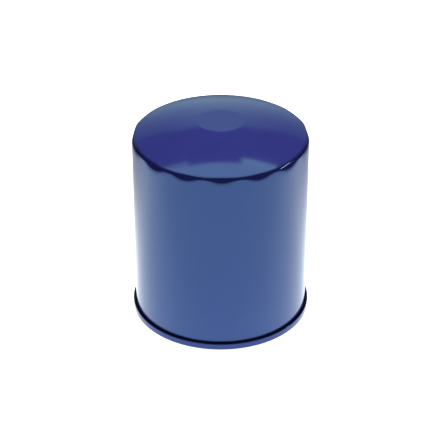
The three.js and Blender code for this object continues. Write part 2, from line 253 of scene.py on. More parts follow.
class Forming(Recipe):
    """A Geometry Nodes tree whose sizes are its named inputs."""

    place_node = "GeometryNodeInputPosition"
    place_output = "Position"

    def __init__(self, name, sizes):
        super().__init__(bpy.data.node_groups.new(name, "GeometryNodeTree"))
        face = self.tree.interface
        face.new_socket("Geometry", in_out="INPUT", socket_type="NodeSocketGeometry")
        face.new_socket("Geometry", in_out="OUTPUT", socket_type="NodeSocketGeometry")
        self.sizes = {}
        for label, value in sizes.items():
            kind = "NodeSocketInt" if isinstance(value, int) else "NodeSocketFloat"
            socket = face.new_socket(label, in_out="INPUT", socket_type=kind)
            self.sizes[socket.identifier] = value
        self.given = Wire(self, self.tree.nodes.new("NodeGroupInput").outputs["Geometry"])

    def bearing(self):
        """The angle at which each point lies round the can's axis."""
        return self.sum("ARCTAN2", self.along("Y"), self.along("X"))

    def moved(self, geometry, offset):
        return self.node("GeometryNodeSetPosition", None, {"Geometry": geometry, "Offset": offset})

    def ring_of(self, copy, count, turn=0.0):
        """Copies of a geometry set evenly round the axis, the first turned by an angle."""
        points = self.node("GeometryNodeMeshLine", None, {"Count": count, "Offset": (0, 0, 0)})
        bearing = self.node("GeometryNodeInputIndex") * (2 * math.pi) / count + turn
        return self.node(
            "GeometryNodeInstanceOnPoints",
            None,
            {"Points": points, "Instance": copy, "Rotation": self.vector(0.0, 0.0, bearing)},
        )

    def less(self, body, cutters):
        """A body with the cutters taken out of it."""
        real = self.node("GeometryNodeRealizeInstances", None, {"Geometry": cutters})
        return self.node(
            "GeometryNodeMeshBoolean",
            {"operation": "DIFFERENCE", "solver": "EXACT"},
            {"Mesh 1": body, "Mesh 2": real},
        )

    def form(self, piece, geometry, material):
        """Ends the tree, runs it on the piece with its sizes set, and keeps the plain mesh."""
        real = self.node("GeometryNodeRealizeInstances", None, {"Geometry": geometry})
        painted = self.node(
            "GeometryNodeSetMaterial", None, {"Geometry": real, "Material": material}
        )
        end = self.tree.nodes.new("NodeGroupOutput")
        self.feed(end.inputs["Geometry"], painted)
        forming = piece.modifiers.new(self.tree.name, "NODES")
        forming.node_group = self.tree
        for identifier, value in self.sizes.items():
            forming[identifier] = value
        return baked(piece)


class Finish(Recipe):
    """A material: one shader with its steady values set, and what varies fed to it."""

    place_node = "ShaderNodeTexCoord"
    place_output = "Object"

    def __init__(self, name, **steady):
        self.material = bpy.data.materials.new(name)
        self.material.use_nodes = True
        super().__init__(self.material.node_tree)
        self.shader = self.tree.nodes["Principled BSDF"]
        for label, value in steady.items():
            self.shader.inputs[label.replace("_", " ")].default_value = value

    def grain(self, scale, detail=4.0, rough=0.55, at=None):
        """Noise from 0 to 1. The scale is in bumps per metre."""
        place = at or self.at()
        sockets = {"Vector": place, "Scale": scale, "Detail": detail, "Roughness": rough}
        return self.node("ShaderNodeTexNoise", None, sockets)

    def specks(self, scale, size):
        """A mask of scattered round specks, each up to a share of its cell wide."""
        cell = self.node("ShaderNodeTexVoronoi", None, {"Vector": self.at(), "Scale": scale})
        return self.eased(cell, size, size * 0.6)

    def eased(self, value, low, high, to_low=0.0, to_high=1.0):
        """A value eased from one range to another and held at its ends."""
        return self.node(
            "ShaderNodeMapRange",
            {"interpolation_type": "SMOOTHSTEP"},
            {0: value, 1: low, 2: high, 3: to_low, 4: to_high},
        )

    def between(self, share, first, second):
        """A colour between two others."""
        return self.node(
            "ShaderNodeMix", {"data_type": "RGBA"}, {0: share, 6: first, 7: second}, gives=2
        )

    def turned_marks(self, scale):
        """Fine rings round the axis, such as a tool or a roller leaves."""
        ring = self.vector(self.out() * scale, self.along("Z") * scale, 0.0)
        return self.node("ShaderNodeTexNoise", None, {"Vector": ring, "Scale": 1.0, "Detail": 3.0})

    def relief(self, height, depth):
        """Small relief, its depth in millimetres."""
        sockets = {"Height": height, "Distance": depth * MM, "Strength": 1.0}
        self.feed(self.shader.inputs["Normal"], self.node("ShaderNodeBump", None, sockets))

    def feeds(self, **varying):
        for label, value in varying.items():
            self.feed(self.shader.inputs[label.replace("_", " ")], value)
        return self.material


def fitted(piece, body, slot, *nodes):
    """The piece rides on its body and stands for its CAD nodes. The slot is not used."""
    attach(piece, body)
    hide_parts(*nodes)


ENAMEL_DEEP = (0.0255, 0.0285, 0.1660, 1)
ENAMEL_PALE = (0.0315, 0.0350, 0.1960, 1)
ENAMEL_PAINTED_SHADE = (0.0080, 0.0085, 0.0600, 1)
SEAM_SHADE = (0.0015, 0.0020, 0.0090, 1)
ENAMEL_SHEEN = (0.33, 0.90, 1.0, 1)


def enamelled(name, gloss=0.5):
    """Blue stoving enamel: a glossy film with a slight orange peel and a few dust nibs."""
    look = Finish(name, IOR=1.5, Specular_IOR_Level=gloss, Specular_Tint=ENAMEL_SHEEN)
    cloud = look.grain(45.0, detail=3.0)
    fine = look.grain(900.0, detail=2.0)
    nibs = look.specks(420.0, 0.045)
    colour = look.between(cloud * 0.8 + fine * 0.2, ENAMEL_DEEP, ENAMEL_PALE)
    return look, colour, 0.085 + cloud * 0.05 + nibs * 0.2, fine * 0.5 + nibs * 1.5


look, colour, roughness, peel = enamelled("can_enamel")
z = look.along("Z")
# Painted shade: the enamel on the pressed flats and the shoulder below the crown is painted much darker,
# to deepen the dark band along the shoulder.
crown_foot = WALL_TOP + SHOULDER_RADIUS * math.cos(CROWN_SLOPE)
below_crown = look.eased(z, (crown_foot + 0.5) * MM, (crown_foot - 0.3) * MM)
off_wall = look.eased(look.out(), (CAN_RADIUS - 0.02) * MM, (CAN_RADIUS - 0.22) * MM)
colour = look.between(below_crown * off_wall, colour, ENAMEL_PAINTED_SHADE)
seam_corner = look.eased(z, CORNER_SHADE_FROM * MM, CORNER_SHADE_FULL * MM)
colour = look.between(seam_corner, colour, SEAM_SHADE)
look.relief(peel, 0.004)
can_enamel = look.feeds(Base_Color=colour, Roughness=roughness)

spot_edge = math.acos((SPOT_RADIUS + 0.5) / CROWN_RADIUS)
dome_line = [(0.0, CAN_TOP), (SPOT_RADIUS / 2, CAN_TOP), (SPOT_RADIUS - 1.2, CAN_TOP)]
dome_line += rounded(
    [
        (SPOT_RADIUS - 1.1, CAN_TOP),
        (SPOT_RADIUS, CAN_TOP - 0.02),
        (CROWN_RADIUS * math.cos(spot_edge), CROWN_CENTRE + CROWN_RADIUS * math.sin(spot_edge)),
    ],
    0.6,
)
dome_line += arc((0, CROWN_CENTRE), CROWN_RADIUS, spot_edge, math.pi / 2 - CROWN_SLOPE, 22)[1:-1]
shoulder_line = arc((SHOULDER_IN, WALL_TOP), SHOULDER_RADIUS, math.pi / 2 - CROWN_SLOPE, 0, 16)
flat_line = spaced([(CAN_RADIUS, WALL_TOP), (CAN_RADIUS, PRESSED_FROM)], 0.35)[1:]
wall_line = spaced([(CAN_RADIUS, PRESSED_FROM), (CAN_RADIUS, FLANGE_TOP + 1.0)], 6.0)[1:]
flange_line = rounded(
    [
        (CAN_RADIUS, FLANGE_TOP + 0.8),
        (CAN_RADIUS, FLANGE_TOP),
        (HOOK_RADIUS, FLANGE_TOP),
        (HOOK_RADIUS, HOOK_TOP),
    ],
    0.15,
)
can_line = dome_line + shoulder_line + flat_line + wall_line + flange_line
can_shell = spun("can_shell", can_line, CAN_SIDES, closed=False)

press = Forming(
    "pressed_flats",
    {
        "Flats": 15,
        "First flat": math.radians(-90),
        "Lean": math.radians(15),
        "Wall radius": CAN_RADIUS * MM,
        "Foot height": FLAT_FOOT * MM,
        "Softness": 0.2 * MM,
        "Land": math.radians(5),
    },
)
bearing = press.bearing()
pitch = 2 * math.pi / press.given["Flats"]
steps_round = (bearing - press.given["First flat"]) / pitch
off_centre = press.sum("ABSOLUTE", steps_round - press.sum("ROUND", steps_round)) * pitch
off_flat = press.sum("SMOOTH_MIN", off_centre, pitch - off_centre, press.given["Land"])
lean_out = press.sum("COSINE", press.given["Lean"])
lean_up = press.sum("SINE", press.given["Lean"])
past_wall = press.out() * press.sum("COSINE", off_flat) - press.given["Wall radius"]
past_foot = press.along("Z") - press.given["Foot height"]
beyond = past_wall * lean_out + past_foot * lean_up
soft = press.given["Softness"]
swell = press.sum("EXPONENT", press.sum("MINIMUM", beyond / soft, 40.0))
depth = soft * press.sum("LOGARITHM", 1 + swell, math.e)
depth = depth / (press.sum("COSINE", off_flat) * lean_out * lean_out + lean_up * lean_up)
inward = 0 - depth * lean_out
offset = press.vector(
    inward * press.sum("COSINE", bearing),
    inward * press.sum("SINE", bearing),
    0 - depth * lean_up,
)
press.form(can_shell, press.moved(press.given, offset), can_enamel)
thickened(can_shell, CAN_SHEET, side=-1)
fitted(can_shell, "housing", "can_paint", "outer_can")


# ---- The seaming lid ----
# A pressed ring of thinner sheet that closes the base. Its inner part is a channel for the gasket, six
# projection welds hold it to the threaded plate, and its edge is rolled round the can's flange.

LID_SHEET = 0.4
WELD_CIRCLE = 41.0
WELD_RADIUS = 2.6
SCUFF_FROM = 1.5
SCUFF_FULL = 1.2
CURL_SHADE_FROM = 4.3
CURL_SHADE_FULL = 5.0
BARE_STEEL = (0.20, 0.21, 0.23, 1)

lid_line = rounded(
    [
        (30.4, 2.6),
        (30.4, 5.2),
        (36.4, 5.2),
        (36.4, 2.8),
        (45.75, 2.8),
        (45.75, 1.4, 0.35),
        (47.85, 1.4, 0.55),
        (47.85, 5.0, 0.6),
        (46.8, 5.0, 0.3),
        (46.8, 2.8),
    ],
    0.45,
)
lid_ring = spun("rolled_lid", spaced(lid_line, 0.6), CAN_SIDES, closed=False)

look, colour, roughness, peel = enamelled("lid_enamel", gloss=0.3)
z = look.along("Z")
rolled = look.turned_marks(2600.0)
scuff = look.grain(420.0, detail=6.0) * look.eased(z, SCUFF_FROM * MM, SCUFF_FULL * MM)
bare = look.eased(scuff, 0.54, 0.66)
curl_top = look.eased(z, CURL_SHADE_FROM * MM, CURL_SHADE_FULL * MM)
colour = look.between(curl_top, colour, SEAM_SHADE)
colour = look.between(bare, colour, BARE_STEEL)
look.relief(peel * 0.6 + rolled * 1.2, 0.006)
lid_enamel = look.feeds(Base_Color=colour, Roughness=roughness + bare * 0.22, Metallic=bare)

welds = Forming(
    "weld_dimples",
    {
        "Welds": 6,
        "Circle": WELD_CIRCLE * MM,
        "Radius": WELD_RADIUS * MM,
        "Depth": 0.25 * MM,
    },
)
pitch = 2 * math.pi / welds.given["Welds"]
steps_round = welds.bearing() / pitch
off_centre = (steps_round - welds.sum("ROUND", steps_round)) * pitch
across = welds.out() * welds.sum("SINE", off_centre)
outward = welds.out() * welds.sum("COSINE", off_centre) - welds.given["Circle"]
reach = across * across + outward * outward
reach = reach / (welds.given["Radius"] * welds.given["Radius"])
bowl = 1 - welds.sum("MINIMUM", reach, 1.0)
offset = welds.vector(0.0, 0.0, bowl * bowl * welds.given["Depth"])
welds.form(lid_ring, welds.moved(welds.given, offset), lid_enamel)
thickened(lid_ring, LID_SHEET)
fitted(lid_ring, "housing", "lid_paint", "seaming_lid")


# ---- The seam's sealing compound ----
# A bead of rubber compound that is poured into the lid's curl before seaming. The fold squeezes it
# into a thin ring above the can's flange, where it stops the oil.

compound_line = rounded([(47.17, 4.3), (47.48, 4.3), (47.48, 4.7), (47.17, 4.7)], 0.1, closed=True)
compound_ring = spun("seam_sealant", compound_line, CAN_SIDES)

look = Finish("sealant", IOR=1.48)
lumps = look.grain(1400.0)
look.relief(lumps, 0.03)
sealant = look.feeds(
    Base_Color=look.between(lumps, (0.012, 0.012, 0.013, 1), (0.03, 0.03, 0.028, 1)),
    Roughness=0.45 + lumps * 0.3,
)
compound_ring.data.materials.append(sealant)
baked(compound_ring)
fitted(compound_ring, "housing", "seam_compound", "seam_compound")


# ---- The tapping plate ----
# A thick steel disc that carries the filter on the engine's stud. It is stamped from hot-rolled strip,
# its hub is drawn up and tapped right-handed, and eight inlet holes are punched round the hub.

THREAD_MINOR = 9.45
THREAD_MAJOR = 10.32
THREAD_PITCH = 1.5875
BORE_WALL = 11.0
PLATE_SIDES = 192
PUNCH_SIDES = 40
PUNCH_LENGTH = 12
PUNCH_MIDDLE = 7

plate_line = rounded(
    [
        (10.65, 5.7, 0.15),
        (37.7, 5.7, 0.9),
        (39.2, 3.4, 0.9),
        (43.6, 3.4, 0.4),
        (43.6, 6.6, 0.25),
        (39.6, 6.6, 0.9),
        (38.1, 8.9, 0.9),
        (13.6, 8.9, 0.6),
        (13.6, 15.2, 0.5),
        (10.05, 15.2, 0.1),
        (9.45, 14.6, 0.1),
        (9.45, 6.9, 0.1),
    ],
    0.3,
    closed=True,
    steps=4,
)
bore_line = [p for p in spaced(plate_line, 0.11, closed=True) if p[0] < BORE_WALL]
coarse_line = [p for p in spaced(plate_line, 3.0, closed=True) if p[0] >= BORE_WALL]
tapped_plate = spun("tapped_plate", coarse_line + bore_line, PLATE_SIDES)

look = Finish("oiled_steel", Metallic=1.0)
scale_marks = look.grain(70.0, detail=8.0, rough=0.7)
rolled_way = look.vector(look.along("X") * 1500, look.along("Y") * 90, look.along("Z") * 1500)
rolling = look.grain(1.0, detail=5.0, at=rolled_way)
pits = look.specks(700.0, 0.16)
tapped = look.eased(look.out(), 10.9 * MM, 10.5 * MM)
dull = look.between(scale_marks, (0.27, 0.27, 0.28, 1), (0.46, 0.45, 0.44, 1))
colour = look.between(tapped, dull, (0.62, 0.62, 0.61, 1))
look.relief(scale_marks * 0.6 + rolling * 0.5 - pits * 0.5, 0.02)
dullness = 0.3 + scale_marks * 0.2 + pits * 0.1 - tapped * 0.12
oiled_steel = look.feeds(Base_Color=colour, Roughness=dullness)

stamping = Forming(
    "tapped_and_punched",
    {
        "Minor radius": THREAD_MINOR * MM,
        "Thread depth": (THREAD_MAJOR - THREAD_MINOR) * MM,
        "Pitch": THREAD_PITCH * MM,
        "Inlets": 8,
        "Inlet radius": 3.25 * MM,
        "Inlet circle": 25.0 * MM,
        "First inlet": math.radians(-67.5),
    },
)
turns = stamping.along("Z") / stamping.given["Pitch"] - stamping.bearing() / (2 * math.pi)
from_root = stamping.sum("ABSOLUTE", turns - stamping.sum("ROUND", turns)) * 2
flank = stamping.node("ShaderNodeMapRange", None, {0: from_root, 1: 0.75, 2: 0.125})
cut_to = stamping.given["Minor radius"] + stamping.given["Thread depth"] * flank
growth = stamping.sum("MAXIMUM", stamping.out(), cut_to) / stamping.out() - 1
outward = stamping.vector(stamping.along("X") * growth, stamping.along("Y") * growth, 0.0)
tapped_body = stamping.moved(stamping.given, outward)
punch = stamping.node(
    "GeometryNodeMeshCylinder",
    None,
    {
        "Vertices": PUNCH_SIDES,
        "Radius": stamping.given["Inlet radius"],
        "Depth": PUNCH_LENGTH * MM,
    },
)
punch_place = stamping.vector(stamping.given["Inlet circle"], 0.0, PUNCH_MIDDLE * MM)
punch = stamping.node(
    "GeometryNodeTransform", None, {"Geometry": punch, "Translation": punch_place}
)
punches = stamping.ring_of(punch, stamping.given["Inlets"], stamping.given["First inlet"])
stamping.form(tapped_plate, stamping.less(tapped_body, punches), oiled_steel)
fitted(tapped_plate, "housing", "plate_steel", "tapping_plate")


# ---- The mounting gasket ----
# A ring of black nitrile rubber, cut from a moulded tube, that sits in the lid's channel and seals on
# the engine's machined pad. It comes with a film of oil and a dusting of talc on its sides.

gasket_line = rounded([(31, 0), (35.8, 0), (35.8, 4.9), (31, 4.9)], 0.4, closed=True)
gasket_ring = spun("sealing_gasket", spaced(gasket_line, 0.8, closed=True), CAN_SIDES)

look = Finish("nitrile", IOR=1.5, Specular_IOR_Level=0.4)
moulding = look.turned_marks(1800.0)
talc = look.eased(look.grain(190.0, detail=7.0), 0.55, 0.75)
look.relief(moulding * 0.6 + look.grain(2400.0) * 0.5, 0.02)
nitrile = look.feeds(
    Base_Color=look.between(talc * 0.6, (0.012, 0.012, 0.013, 1), (0.05, 0.05, 0.048, 1)),
    Roughness=0.42 + talc * 0.3 + moulding * 0.1,
)
gasket_ring.data.materials.append(nitrile)
baked(gasket_ring)
fitted(gasket_ring, "housing", "gasket_rubber", "mounting_gasket")


# ---- The anti-drainback valve ----
# One moulding of rust-red silicone rubber. Its collar is clamped between the plate's hub and the
# element, and its thin skirt lies over the inlets and lifts when the oil pushes in.

VALVE_SIDES = 180
collar_line = rounded(
    [(13.9, 9.2), (17.0, 9.2, 0.8), (19.7, 11.0), (19.7, 12.1), (19.2, 14.7, 0.5), (13.9, 14.7)],
    0.3,
    closed=True,
)
skirt_line = rounded(
    [
        (19.65, 11.0, 0.1),
        (31.0, 9.2, 0.8),
        (32.6, 9.2, 0.3),
        (32.6, 10.0, 0.35),
        (30.8, 10.2, 0.8),
        (19.65, 12.2, 0.1),
    ],
    0.3,
    closed=True,
)
collar = spun("valve_collar", collar_line, VALVE_SIDES)
skirt = spun("valve_skirt", spaced(skirt_line, 1.2, closed=True), VALVE_SIDES)

look = Finish("silicone", IOR=1.43, Subsurface_Weight=0.05, Subsurface_Scale=0.5 * MM)
bloom = look.grain(160.0, detail=6.0)
look.relief(look.turned_marks(1500.0) + look.grain(2600.0) * 0.4, 0.012)
silicone = look.feeds(
    Base_Color=look.between(bloom, (0.24, 0.035, 0.012, 1), (0.34, 0.062, 0.022, 1)),
    Roughness=0.36 + bloom * 0.2,
)
for moulding in (collar, skirt):
    moulding.data.materials.append(silicone)
    baked(moulding)
fitted(collar, "housing", "valve_rubber", "drainback_collar")
fitted(skirt, "drainback_skirt", "valve_rubber", "drainback_skirt")
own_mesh(skirt)


# ---- The element's end caps ----
# Two shallow pans of tinned sheet that close the element's ends. They are pressed with a rim, a
# stiffening bead and a hole, and hold the potted paper and the centre tube.

CAP_SHEET = 0.5
CAP_SIDES = 180
base_cap_line = rounded(
    [(17.35, 18.05), (17.35, 15.25, 0.6), (40.75, 15.25, 0.9), (40.75, 19.25)], 0.5
)
dome_cap_line = rounded([(9.0, 88.35), (40.75, 88.35, 0.9), (40.75, 84.35)], 0.5)
base_cap = spun("base_pan", spaced(base_cap_line, 1.5), CAP_SIDES, closed=False)
dome_cap = spun("dome_pan", spaced(dome_cap_line, 1.5), CAP_SIDES, closed=False)

look = Finish("tinplate", Metallic=1.0)
spangle = look.grain(240.0, detail=5.0)
drawn = look.turned_marks(1200.0)
stain = look.eased(look.grain(38.0, detail=5.0), 0.5, 0.72)
look.relief(spangle * 0.4 + drawn * 0.6, 0.008)
tinplate = look.feeds(
    Base_Color=look.between(stain, (0.60, 0.61, 0.60, 1), (0.46, 0.45, 0.42, 1)),
    Roughness=0.24 + spangle * 0.16 + stain * 0.1,
)
for pan, node in ((base_cap, "base_end_cap"), (dome_cap, "dome_end_cap")):
    pan.data.materials.append(tinplate)
    thickened(pan, CAP_SHEET)
    fitted(pan, "element", "tinned_steel", node)


# ---- The potting ----
# Plastisol poured into each end cap and cured, which glues the paper's edges and seals them. It
# creeps a little way up the pleats and sets with a wavy skin.


def potting_ring(name, bottom):
    """A cured ring that fills an end cap."""
    line = [(18.9, bottom), (40.2, bottom), (40.2, bottom + 1.6), (18.9, bottom + 1.6)]
    line = spaced(rounded(line, 0.25, closed=True), 0.9, closed=True)
    return spun(name, line, CAP_SIDES)


look = Finish("plastisol", IOR=1.5)
ripple = look.grain(330.0, detail=4.0)
bubbles = look.specks(900.0, 0.2)
look.relief(ripple + bubbles * 0.3, 0.15)
plastisol = look.feeds(
    Base_Color=look.between(ripple, (0.17, 0.20, 0.24, 1), (0.25, 0.28, 0.32, 1)),
    Roughness=0.5 + ripple * 0.25,
)
for name, bottom, node in (
    ("base_potting", 15.8, "base_end_adhesive"),
    ("dome_potting", 86.2, "dome_end_adhesive"),
):
    ring = potting_ring(name, bottom)
    ring.data.materials.append(plastisol)
    baked(ring)
    fitted(ring, "element", "end_adhesive", node)


# ---- The pleated paper ----
# Resin-treated filter paper, folded into forty pleats and closed into a ring. The folds are round,
# the paper is embossed across its run, and curing has browned it unevenly.

PLEATS = 40
PLEAT_FOOT = 17.7
PLEAT_HEAD = 85.9
PLEAT_OUT = 39.4
PLEAT_IN = 19.6
EMBOSS_SPACING = 1.6
PAPER_SHEET = 0.8


def upright(name, line, bottom, top, rows):
    """A skin that stands on a line seen from above."""
    corners = [
        (px, py, bottom + (top - bottom) * row / rows) for row in range(rows + 1) for px, py in line
    ]
    wide = len(line)
    faces = [
        (a, a + 1, a + 1 + wide, a + wide)
        for row in range(rows)
        for a in range(row * wide, row * wide + wide - 1)
    ]
    return piece_of(name, corners, faces)


def beside(radius, across, bearing):
    """A point at a radius on a bearing, moved sideways."""
    c, s = math.cos(bearing), math.sin(bearing)
    return (radius * c - across * s, radius * s + across * c)


half_pitch = math.pi / PLEATS
one_fold = rounded(
    [
        beside(PLEAT_IN, 0.0, -half_pitch),
        beside(PLEAT_IN, 0.5, -half_pitch),
        beside(PLEAT_OUT, -0.55, 0.0),
        beside(PLEAT_OUT, 0.55, 0.0),
        beside(PLEAT_IN, -0.5, half_pitch),
        beside(PLEAT_IN, 0.0, half_pitch),
    ],
    0.48,
)
paper = upright("folded_paper", spaced(one_fold, 4.0), PLEAT_FOOT, PLEAT_HEAD, 10)

look = Finish("filter_paper", Specular_IOR_Level=0.25)
laid_way = look.vector(look.along("X") * 900, look.along("Y") * 900, look.along("Z") * 2600)
fibre = look.grain(1.0, detail=7.0, rough=0.7, at=laid_way)
browning = look.grain(60.0, detail=3.0)
emboss = look.sum("SINE", look.along("Z") * (2 * math.pi / (EMBOSS_SPACING * MM)))
look.relief(fibre * 0.5 + emboss * 0.35, 0.08)
cured_paper = look.feeds(
    Base_Color=look.between(
        browning * 0.7 + fibre * 0.3, (0.66, 0.46, 0.16, 1), (0.50, 0.31, 0.085, 1)
    ),
    Roughness=0.82 + fibre * 0.15,
)

folding = Forming("folded_round", {"Pleats": PLEATS, "Join": 0.01 * MM})
ring = folding.ring_of(folding.given, folding.given["Pleats"])
ring = folding.node("GeometryNodeRealizeInstances", None, {"Geometry": ring})
ring = folding.node(
    "GeometryNodeMergeByDistance", None, {"Geometry": ring, "Distance": folding.given["Join"]}
)
folding.form(paper, ring, cured_paper)
thickened(paper, PAPER_SHEET)
fitted(paper, "element", "filter_paper", "pleated_paper")


# ---- The paper's clip ----
# A strip of tinned sheet folded over the two ends of the paper, where the ring of pleats closes,
# and crimped along its length.

CLIP_SHEET = 0.35
clip_line = rounded([(1.45, 33.4), (1.45, 40.05), (-1.45, 40.05), (-1.45, 33.4)], 0.5)
clip = upright("paper_clip", spaced(clip_line, 1.0), PLEAT_FOOT, PLEAT_HEAD, 60)

crimping = Forming("crimps", {"Spacing": 5.0 * MM, "Bite": 0.1 * MM})
bites = crimping.along("Z") / crimping.given["Spacing"]
wave = crimping.sum("SINE", bites * (2 * math.pi)) * 0.5 + 0.5
squeeze = (0 - wave) * crimping.given["Bite"] * crimping.sum("SIGN", crimping.along("X"))
crimping.form(clip, crimping.moved(crimping.given, crimping.vector(squeeze, 0.0, 0.0)), tinplate)
thickened(clip, CLIP_SHEET)
fitted(clip, "element", "tinned_steel", "paper_seam_clip")


# ---- The centre tube ----
# Tinned sheet, punched with staggered rows of holes and rolled into a tube. It keeps the paper from
# collapsing and carries the clean oil down to the stud.

TUBE_INNER = 18.1
TUBE_OUTER = 18.6
TUBE_FOOT = 15.8
TUBE_HEAD = 87.8
TUBE_SIDES = 128
TUBE_PUNCH_SIDES = 28
TUBE_PUNCH_LENGTH = 6
tube_line = [
    (TUBE_INNER, TUBE_FOOT),
    (TUBE_OUTER, TUBE_FOOT),
    (TUBE_OUTER, TUBE_HEAD),
    (TUBE_INNER, TUBE_HEAD),
]
tube_line = spaced(rounded(tube_line, 0.1, closed=True), 6.0, closed=True)
tube = spun("punched_tube", tube_line, TUBE_SIDES)

punching = Forming(
    "punched_rows",
    {
        "Rows": 6,
        "Holes in a row": 8,
        "Hole radius": 2.2 * MM,
        "Tube radius": TUBE_OUTER * MM,
        "Foot": TUBE_FOOT * MM,
        "Row spacing": (TUBE_HEAD - TUBE_FOOT) * MM / 6.5,
        "First hole": math.pi / 32,
    },
)
punch = punching.node(
    "GeometryNodeMeshCylinder",
    None,
    {
        "Vertices": TUBE_PUNCH_SIDES,
        "Radius": punching.given["Hole radius"],
        "Depth": TUBE_PUNCH_LENGTH * MM,
    },
)
punch = punching.node(
    "GeometryNodeTransform",
    None,
    {
        "Geometry": punch,
        "Rotation": (0, math.pi / 2, 0),
        "Translation": punching.vector(punching.given["Tube radius"], 0.0, 0.0),
    },
)
row_of_holes = punching.ring_of(punch, punching.given["Holes in a row"], punching.given["First hole"])
row = punching.node("GeometryNodeInputIndex")
stagger = punching.sum("MODULO", row, 2.0) * math.pi / punching.given["Holes in a row"]
stack = punching.node(
    "GeometryNodeMeshLine",
    None,
    {
        "Count": punching.given["Rows"],
        "Start Location": punching.vector(
            0.0, 0.0, punching.given["Foot"] + punching.given["Row spacing"] * 0.75
        ),
        "Offset": punching.vector(0.0, 0.0, punching.given["Row spacing"]),
    },
)
all_punches = punching.node(
    "GeometryNodeInstanceOnPoints",
    None,
    {"Points": stack, "Instance": row_of_holes, "Rotation": punching.vector(0.0, 0.0, stagger)},
)
punching.form(tube, punching.less(punching.given, all_punches), tinplate)
fitted(tube, "element", "tinned_steel", "centre_tube")


# ---- The bypass valve's cage ----
# A small cup pressed from tinned sheet and held by its flange in the dome end of the centre tube.
# Four windows are punched in its wall, and its floor holds the spring.

WINDOW_CUT = (8 * MM, 12 * MM, 11 * MM)
cage_line = rounded(
    [(5.0, 66.25), (13.55, 66.25, 0.7), (13.55, 87.55, 0.5), (17.5, 87.55)], 0.5
)
cage = spun("valve_cage", spaced(cage_line, 3.0), TUBE_SIDES, closed=False)
cage.data.materials.append(tinplate)
thickened(cage, CAP_SHEET)

windows = Forming(
    "cage_windows",
    {"Windows": 4, "Cage radius": 13.8 * MM, "Middle height": 75.0 * MM, "First": math.pi / 4},
)
punch = windows.node("GeometryNodeMeshCube", None, {"Size": WINDOW_CUT})
punch = windows.node(
    "GeometryNodeTransform",
    None,
    {
        "Geometry": punch,
        "Translation": windows.vector(
            windows.given["Cage radius"], 0.0, windows.given["Middle height"]
        ),
    },
)
punches = windows.ring_of(punch, windows.given["Windows"], windows.given["First"])
windows.form(cage, windows.less(windows.given, punches), tinplate)
fitted(cage, "element", "tinned_steel", "bypass_cage")


# ---- The bypass valve's poppet and seal ----
# A plunger of black glass-filled nylon, and the nitrile washer that it presses against the dome-end
# cap. High pressure pushes both down, so that oil still flows when the paper is blocked.

poppet_line = rounded(
    [
        (0.0, 80.7),
        (5.6, 80.7, 0.6),
        (6.2, 84.7, 0.4),
        (11.0, 84.7, 0.3),
        (11.0, 85.9, 0.3),
        (4.0, 85.9, 0.2),
        (4.0, 87.4, 0.4),
        (0.0, 87.4),
    ],
    0.3,
)
poppet = spun("valve_plunger", spaced(poppet_line, 1.0), TUBE_SIDES, closed=False)
facing_out(poppet)

look = Finish("glass_filled_nylon", IOR=1.53)
flow_way = look.vector(look.along("X") * 2800, look.along("Y") * 700, 0.0)
strands = look.grain(1.0, detail=6.0, at=flow_way)
look.relief(strands + look.grain(3000.0) * 0.5, 0.01)
nylon = look.feeds(
    Base_Color=look.between(strands, (0.010, 0.010, 0.012, 1), (0.022, 0.022, 0.025, 1)),
    Roughness=0.38 + strands * 0.25,
)
poppet.data.materials.append(nylon)
baked(poppet)
fitted(poppet, "bypass_valve", "valve_nylon", "bypass_poppet")

washer_line = rounded([(4.3, 86.2), (10.7, 86.2), (10.7, 87.8), (4.3, 87.8)], 0.25, closed=True)
washer = spun("valve_washer", spaced(washer_line, 0.8, closed=True), TUBE_SIDES)
washer.data.materials.append(nitrile)
baked(washer)
fitted(washer, "bypass_valve", "seal_rubber", "bypass_seal")


# ---- The two springs ----
# Round spring-steel wire, cold-wound and left in its drawing oil. A stout cone presses the element
# onto the plate, and a light coil holds the bypass valve shut. Their end turns lie closed.

look = Finish("spring_wire", Metallic=1.0)
drawing = look.grain(700.0, detail=5.0)
rust = look.eased(look.grain(90.0, detail=7.0), 0.6, 0.75)
look.relief(drawing, 0.01)
spring_wire = look.feeds(
    Base_Color=look.between(rust * 0.5, (0.24, 0.245, 0.255, 1), (0.20, 0.13, 0.08, 1)),
    Roughness=0.3 + drawing * 0.15 + rust * 0.15,
)


STEPS_A_TURN = 48
WIRE_SIDES = 20


